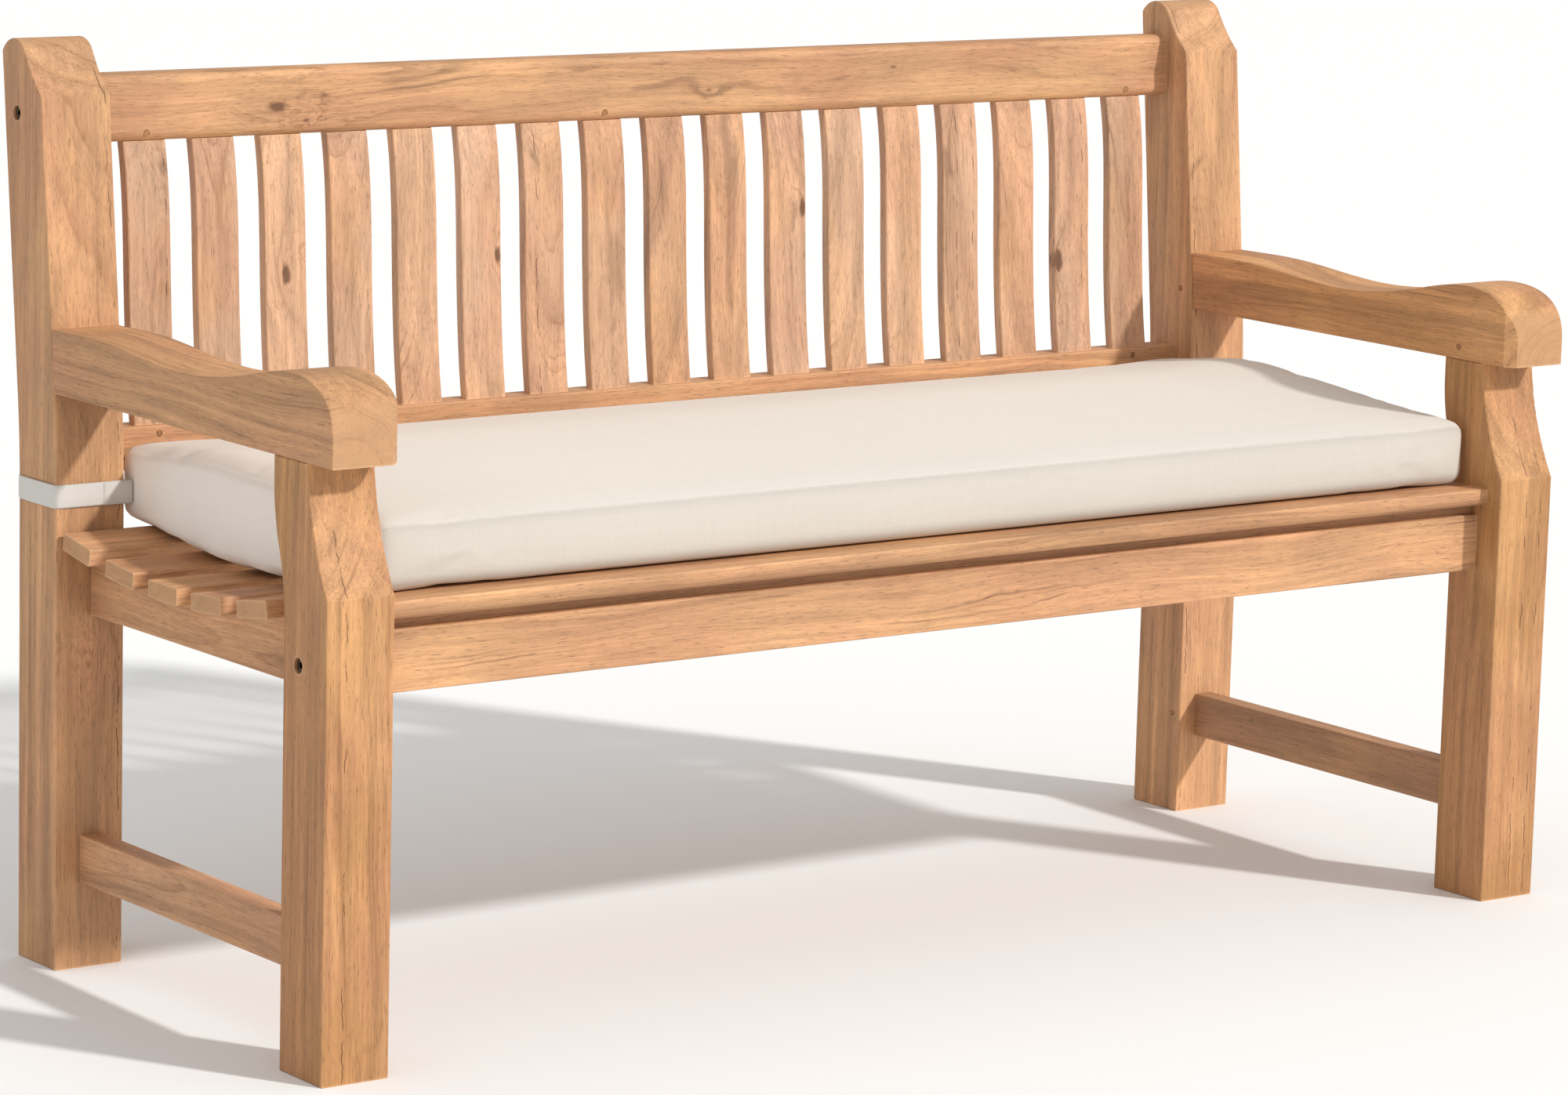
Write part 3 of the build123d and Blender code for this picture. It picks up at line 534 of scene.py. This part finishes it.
def cloth_material(name, top_colour, front_colour, end_colour, thread=THREAD):
    """Plain woven cloth: two sets of threads and slubs, a colour for each way a panel faces (on the
    cushion a painted shade on the front and painted light on the ends), and painted shade on long edges.
    """
    material, graph, surface = start_material(name)
    coordinates = graph.add("TexCoord")
    place = coordinates.outputs["Object"]
    axes = graph.add("SeparateXYZ", {0: place}).outputs
    facing = graph.add("SeparateXYZ", {0: coordinates.outputs["Normal"]}).outputs
    upright = [graph.smooth(graph.math("ABSOLUTE", part), 0.45, 0.8) for part in facing]
    waves = [graph.math("SINE", graph.math("MULTIPLY", axis, 2 * math.pi / thread)) for axis in axes]
    pairs = [graph.math("MULTIPLY", waves[i], waves[j]) for i, j in ((1, 2), (0, 2), (0, 1))]
    weave = 0.0
    for share, pair in zip(upright, pairs):
        weave = graph.math("MULTIPLY_ADD", share, pair, weave)
    slubs = [graph.noise(place, stretch, 3.0, 0.6) for stretch in SLUB_STRETCHES]
    slub = graph.math("ADD", graph.math("ADD", slubs[0], slubs[1]), slubs[2])
    slub = graph.math("MULTIPLY_ADD", slub, 1 / 1.5, -1.0)  # from three noises to -1 to 1
    cloud = graph.noise(place, CLOTH_CLOUDS, 2.0)
    # Each facing takes its own colour; on the cushion this paints shade on the front and light on the
    # ends.
    colour = graph.mix(upright[0], graph.mix(upright[2], front_colour, top_colour), end_colour)
    # Painted shade on the long edges, strongest where a side and the top or underside meet.
    edge = graph.math("MULTIPLY", graph.math("ABSOLUTE", facing[1]), graph.math("ABSOLUTE", facing[2]))
    gain = graph.math("MULTIPLY_ADD", edge, EDGE_SHADE, 1.0)
    gain = graph.math("MULTIPLY_ADD", weave, WEAVE_TONE, gain)
    gain = graph.math("MULTIPLY_ADD", slub, SLUB_TONE, gain)
    gain = graph.math("MULTIPLY", gain, graph.math("MULTIPLY_ADD", cloud, 0.05, 0.975))
    colour = graph.mix(1.0, colour, graph.combine(gain, gain, gain), "MULTIPLY")
    height = graph.math("MULTIPLY_ADD", slub, 0.9, weave)
    bump = graph.add("Bump", {"Height": height, "Strength": 0.35, "Distance": CLOTH_RELIEF})
    inputs = {
        "Base Color": colour,
        "Roughness": 0.88,
        "Specular IOR Level": 0.2,
        "Sheen Weight": 0.1,
        "Sheen Roughness": 0.5,
        "Normal": bump.outputs["Normal"],
    }
    graph.feed(surface, graph.add("BsdfPrincipled", inputs).outputs[0])
    return material


# ---- cushion ----
CELL = 10 * MM
VOXEL = 6 * MM
SIM_FRAMES = 16
SIM_PRESSURE = 4.0
SIM_REACH = 5 * MM
SIM_SPREAD = 0.4
INSET = 2 * MM
ROUNDING = 7 * MM
HALF_THICKNESS = 37 * MM
BELLY_DROP = 17 * MM
UNDERSIDE = 19 * MM
FRONT_DROP = 14 * MM
REAR_DROP = 9 * MM
PLUMPNESS = 8 * MM
RIGHT_REACH = 3 * MM
CLEARANCE = 0.5 * MM
BED_CLEARANCE = 0.8 * MM
BELLY_SHARPNESS = 1.3
OVERSHOOT = 0.15  # how far past its top and underside the filled cloth may swell, as a share of the height
# Shares of the cushion's depth, from its front edge.
BELLY_START = 0.08
FRONT_STEEPNESS = 1.5  # the top is at its full height after 1 / 1.5 of the depth
REAR_START = 0.65
PLUMP_MIDDLE = 0.66
PLUMP_WIDTH = 0.25
# Shares of its half length, from its middle to its right end.
PLUMP_START = 0.75
PLUMP_FULL = 0.97
RIGHT_START = 0.8
# The cushion's cloth by facing: the front is a darker copy of the top (painted shade), the ends a lighter
# copy (painted light).
COVER_TOP = srgb(228, 222, 214)
COVER_FRONT_PAINTED_SHADE = srgb(204, 198, 189)
COVER_END_PAINTED_LIGHT = srgb(252, 249, 244)


def link(piece):
    bpy.context.scene.collection.objects.link(piece)
    return piece


def mesh_piece(name, points, faces, smooth=True):
    """A mesh object from points and faces, with its normals turned outwards."""
    mesh = bpy.data.meshes.new(name)
    mesh.from_pydata([tuple(point) for point in points], [], faces)
    body = bmesh.new()
    body.from_mesh(mesh)
    bmesh.ops.remove_doubles(body, verts=body.verts, dist=0.01 * MM)
    bmesh.ops.recalc_face_normals(body, faces=body.faces)
    body.to_mesh(mesh)
    body.free()
    for polygon in mesh.polygons:
        polygon.use_smooth = smooth
    return link(bpy.data.objects.new(name, mesh))


def rounded_box(half, radius, cell):
    """Points and quads of a box with rounded edges, as a fine grid over its six sides."""
    points, faces = [], []
    reach = [size - radius for size in half]
    for axis in range(3):
        u, v = (axis + 1) % 3, (axis + 2) % 3
        steps_u, steps_v = (max(4, round(2 * half[i] / cell)) for i in (u, v))
        for sign in (-1, 1):
            base = len(points)
            for i in range(steps_u + 1):
                for j in range(steps_v + 1):
                    point = Vector((0, 0, 0))
                    point[axis] = sign * half[axis]
                    point[u] = half[u] * (2 * i / steps_u - 1)
                    point[v] = half[v] * (2 * j / steps_v - 1)
                    core = Vector([max(-r, min(r, value)) for r, value in zip(reach, point)])
                    points.append(core + (point - core).normalized() * radius)
            for i in range(steps_u):
                for j in range(steps_v):
                    a = base + i * (steps_v + 1) + j
                    faces.append((a, a + 1, a + steps_v + 2, a + steps_v + 1))
    return points, faces


cushion_low, cushion_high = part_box("cushion")
front_slat_low, front_slat_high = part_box("front_seat_slat")
seat_tops = [(front_slat_low.y, front_slat_high.z), (front_slat_high.y, front_slat_high.z)]
for number in (5, 4, 3, 2, 1):
    slat_low, slat_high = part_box(f"seat_slat_{number}")
    seat_tops.append(((slat_low.y + slat_high.y) / 2, slat_high.z))


def seat_height(y):
    """Height of the seat under the cushion: straight from one slat's top to the next."""
    if y <= seat_tops[0][0]:
        return seat_tops[0][1]
    for (y0, z0), (y1, z1) in zip(seat_tops, seat_tops[1:]):
        if y <= y1:
            return z0 + (z1 - z0) * (y - y0) / (y1 - y0)
    return seat_tops[-1][1]


def clamp(value, low=0.0, high=1.0):
    return max(low, min(high, value))


def smooth_step(value, low, high):
    """0 up to low, 1 from high on, and a smooth rise between them."""
    share = clamp((value - low) / (high - low))
    return share * share * (3 - 2 * share)


def depth_share(y):
    """0 at the cushion's front edge and 1 at its rear edge."""
    return (y - cushion_low.y) / (cushion_high.y - cushion_low.y)


def bed(y):
    """Underside of the cushion, which bridges the dip of the seat."""
    share = clamp((depth_share(y) - BELLY_START) / (1 - BELLY_START))
    sag = BELLY_DROP * math.sin(math.pi * share) ** BELLY_SHARPNESS
    return max(cushion_low.z + UNDERSIDE - sag, seat_height(y) + BED_CLEARANCE)


def crown(x, y):
    """Top of the cushion: lower at the front and rear edges, and plumper by the right post."""
    share = depth_share(y)
    front = FRONT_DROP * (math.sin(0.5 * math.pi * min(1.0, share * FRONT_STEEPNESS)) - 1)
    rear = -REAR_DROP * smooth_step(share, REAR_START, 1.0)
    by_the_post = smooth_step(x / cushion_high.x, PLUMP_START, PLUMP_FULL)
    plump = PLUMPNESS * by_the_post * math.exp(-(((share - PLUMP_MIDDLE) / PLUMP_WIDTH) ** 2))
    return cushion_high.z + front + rear + plump


def make_cushion():
    """A box cushion: rounded, filled by pressure as cloth, and laid in the dish of the seat."""
    middle = (cushion_low + cushion_high) / 2
    half = (cushion_high - cushion_low) / 2 - Vector((INSET, INSET, 0))
    flat_half = Vector((half.x, half.y, HALF_THICKNESS))
    points, faces = rounded_box(flat_half, ROUNDING, CELL)
    cushion = mesh_piece("cushion_cover", points, faces)
    remesh = cushion.modifiers.new("remesh", "REMESH")
    remesh.mode = "VOXEL"
    remesh.voxel_size = VOXEL
    remesh.use_smooth_shade = True
    apply_modifiers(cushion)
    start = [vertex.co.copy() for vertex in cushion.data.vertices]
    inflate(cushion)
    shape_cushion(cushion, start, middle, flat_half)
    subdivide = cushion.modifiers.new("smooth", "SUBSURF")
    subdivide.levels = subdivide.render_levels = 1
    apply_modifiers(cushion)
    return cushion


def apply_modifiers(piece):
    """Bakes a piece's modifiers into its mesh."""
    bpy.context.view_layer.update()
    evaluated = piece.evaluated_get(bpy.context.evaluated_depsgraph_get())
    mesh = bpy.data.meshes.new_from_object(evaluated)
    piece.modifiers.clear()
    piece.data = mesh
    for polygon in mesh.polygons:
        polygon.use_smooth = True


def inflate(piece):
    """Blows a closed cloth up a little, with no gravity, and keeps the result."""
    cloth = piece.modifiers.new("cloth", "CLOTH")
    settings = cloth.settings
    settings.quality = 6
    settings.mass = 0.3
    settings.tension_stiffness = settings.compression_stiffness = 22
    settings.shear_stiffness = 8
    settings.bending_stiffness = 1.5
    settings.use_pressure = True
    settings.uniform_pressure_force = SIM_PRESSURE
    settings.effector_weights.gravity = 0
    cloth.point_cache.frame_start, cloth.point_cache.frame_end = 1, SIM_FRAMES
    scene = bpy.context.scene
    for step in range(1, SIM_FRAMES + 1):
        scene.frame_set(step)
    apply_modifiers(piece)
    scene.frame_set(1)


def shape_cushion(cushion, start, middle, half):
    """Caps the swelling and lays the cushion on the seat."""
    for vertex, before in zip(cushion.data.vertices, start):
        moved = vertex.co - before
        if moved.length > 0:
            moved *= SIM_REACH * math.tanh(moved.length / SIM_REACH) / moved.length
        point = before + Vector((SIM_SPREAD * moved.x, SIM_SPREAD * moved.y, moved.z))
        y = middle.y + point.y
        x = middle.x + point.x + RIGHT_REACH * smooth_step(point.x / half.x, RIGHT_START, 1.0)
        share = clamp((point.z / half.z + 1) / 2, -OVERSHOOT, 1 + OVERSHOOT)
        height = bed(y) + (crown(x, y) - bed(y)) * share
        vertex.co = Vector((x, y, max(height, seat_height(y) + CLEARANCE)))


cushion = make_cushion()
paint(cushion, cloth_material("cushion_cloth", COVER_TOP, COVER_FRONT_PAINTED_SHADE, COVER_END_PAINTED_LIGHT))
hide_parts("cushion")
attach(cushion, "cushion")


# ---- straps ----
STRAP_THREAD = 0.9 * MM
STRAP_THICKNESS = 1.5 * MM
STRAP_CORNER = 5 * MM
STRAP_INSET = 0.8 * MM  # from the CAD strap's outside to the middle of the woven one
STRAP_BULGE = 0.7 * MM
OUTLINE_TURNS = 12
OUTLINE_FLATNESS = 0.35
CORNER_STEPS = 6
SIDE_STEPS = 8
TAB_STEPS = 12
TAB_START = 12 * MM  # from the post's middle, towards the cushion
TAB_END_GAP = 1 * MM  # how far the tab stops short of the cushion's end
TAB_RISE = 1.9 * MM
TAB_RISE_SHARE = 0.2  # the tab has risen off its band after this share of its length
TAB_GAP = 0.2 * MM


def ribbon(name, path, width, thickness, closed):
    """A flat strap with soft edges that follows points, each with its outward direction."""
    outline = []
    for turn in range(OUTLINE_TURNS):
        angle = 2 * math.pi * turn / OUTLINE_TURNS
        flat = abs(math.cos(angle)) ** OUTLINE_FLATNESS * math.copysign(1, math.cos(angle))
        outline.append((thickness / 2 * math.sin(angle), width / 2 * flat))
    points, faces = [], []
    for point, outward in path:
        for depth, height in outline:
            points.append(point + outward * depth + Vector((0, 0, height)))
    count = len(outline)
    rings = len(path)
    for i in range(rings if closed else rings - 1):
        for j in range(count):
            a, b = i * count + j, i * count + (j + 1) % count
            c, d = ((i + 1) % rings) * count + (j + 1) % count, ((i + 1) % rings) * count + j
            faces.append((a, b, c, d))
    if not closed:
        faces.append(tuple(range(count)))
        faces.append(tuple(range((rings - 1) * count, rings * count)))
    return mesh_piece(name, points, faces)


def band_path(centre, half, corner, bulge):
    """Points round a post, a little proud of its faces in the middle of each side."""
    path = []
    signs = ((1, -1), (1, 1), (-1, 1), (-1, -1))
    hubs = [centre + Vector((sx * (half.x - corner), sy * (half.y - corner), 0)) for sx, sy in signs]
    for index, hub in enumerate(hubs):
        for step in range(CORNER_STEPS + 1):
            angle = math.radians(90 * (index - 1) + 90 * step / CORNER_STEPS)
            outward = Vector((math.cos(angle), math.sin(angle), 0))
            path.append((hub + outward * corner, outward))
        last = path[-1][0]
        target = hubs[(index + 1) % 4] + outward * corner
        for step in range(1, SIDE_STEPS):
            share = step / SIDE_STEPS
            proud = bulge * math.sin(math.pi * share)
            path.append((last.lerp(target, share) + outward * proud, outward))
    return path


def tab_path(start_x, end_x, front, z):
    """Points along a strap's free end, which lies over its band and then stands off to the cushion."""
    path = []
    for step in range(TAB_STEPS + 1):
        share = step / TAB_STEPS
        rise = TAB_RISE * math.sqrt(min(1.0, share / TAB_RISE_SHARE))
        point = Vector((start_x + (end_x - start_x) * share, front - rise - TAB_GAP, z))
        path.append((point, Vector((0, -1, 0))))
    return path


STRAP_COLOUR = srgb(214, 211, 206)
strap_cloth = cloth_material("strap_cloth", STRAP_COLOUR, STRAP_COLOUR, STRAP_COLOUR, STRAP_THREAD)
for side, sign in (("left", -1), ("right", 1)):
    low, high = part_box(f"strap_{side}")
    centre, half = (low + high) / 2, (high - low) / 2
    width = high.z - low.z
    mid = Vector((half.x - STRAP_INSET, half.y - STRAP_INSET, 0))
    round_post = band_path(centre, mid, STRAP_CORNER, STRAP_BULGE)
    band = ribbon(f"strap_band_{side}", round_post, width, STRAP_THICKNESS, True)
    start_x = centre.x - sign * TAB_START
    end_x = sign * (cushion_high.x - TAB_END_GAP)
    to_cushion = tab_path(start_x, end_x, centre.y - mid.y, centre.z)
    tab = ribbon(f"strap_tab_{side}", to_cushion, width, STRAP_THICKNESS, False)
    for piece in (band, tab):
        paint(piece, strap_cloth)
        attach(piece, "frame")
    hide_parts(f"strap_{side}")


# ---- floor, light and camera ----
FLOOR_REACH = 60.0
FLOOR_COLOUR = (0.89, 0.905, 0.915, 1)
TOWARDS_SUN = Vector((0.56, -1.0, 0.74))
SUN_STRENGTH = 2.6
SUN_ANGLE = math.radians(3.5)
SUN_COLOUR = (1.0, 0.975, 0.94)
SKY_STRENGTH = 0.70
SKY_COLOUR = (1.0, 0.985, 0.965, 1)


def floor():
    corners = ((-1, -1), (1, -1), (1, 1), (-1, 1))
    points = [(FLOOR_REACH * x, FLOOR_REACH * y, 0) for x, y in corners]
    plane = mesh_piece("floor", points, [(0, 1, 2, 3)], smooth=False)
    material, graph, surface = start_material("pale_floor")
    inputs = {"Base Color": FLOOR_COLOUR, "Roughness": 0.9, "Specular IOR Level": 0.1}
    graph.feed(surface, graph.add("BsdfPrincipled", inputs).outputs[0])
    paint(plane, material)


def lights():
    lamp = bpy.data.lights.new("key", "SUN")
    lamp.energy = SUN_STRENGTH
    lamp.angle = SUN_ANGLE
    lamp.color = SUN_COLOUR
    key = link(bpy.data.objects.new("key", lamp))
    key.rotation_euler = TOWARDS_SUN.to_track_quat("Z", "Y").to_euler()
    world = bpy.data.worlds.new("studio")
    bpy.context.scene.world = world
    world.use_nodes = True
    background = world.node_tree.nodes["Background"]
    background.inputs["Color"].default_value = SKY_COLOUR
    background.inputs["Strength"].default_value = SKY_STRENGTH


def camera():
    data = bpy.data.cameras.new("camera")
    data.sensor_width = SENSOR_WIDTH
    data.lens = CAMERA_LENS
    data.clip_end = 200
    eye = link(bpy.data.objects.new("camera", data))
    flat = math.cos(CAMERA_ELEVATION)
    back = Vector((
        math.sin(CAMERA_AZIMUTH) * flat,
        -math.cos(CAMERA_AZIMUTH) * flat,
        math.sin(CAMERA_ELEVATION),
    ))
    right = Vector((0, 0, 1)).cross(back).normalized()
    up = back.cross(right)
    turn = Matrix((right, up, back)).transposed().to_4x4()
    roll = Matrix.Rotation(CAMERA_ROLL, 4, "Z")
    eye.matrix_world = Matrix.Translation(CAMERA_TARGET + back * CAMERA_DISTANCE) @ turn @ roll
    bpy.context.scene.camera = eye


floor()
lights()
camera()
bpy.context.scene.view_settings.view_transform = "Standard"

bpy.context.view_layer.update()
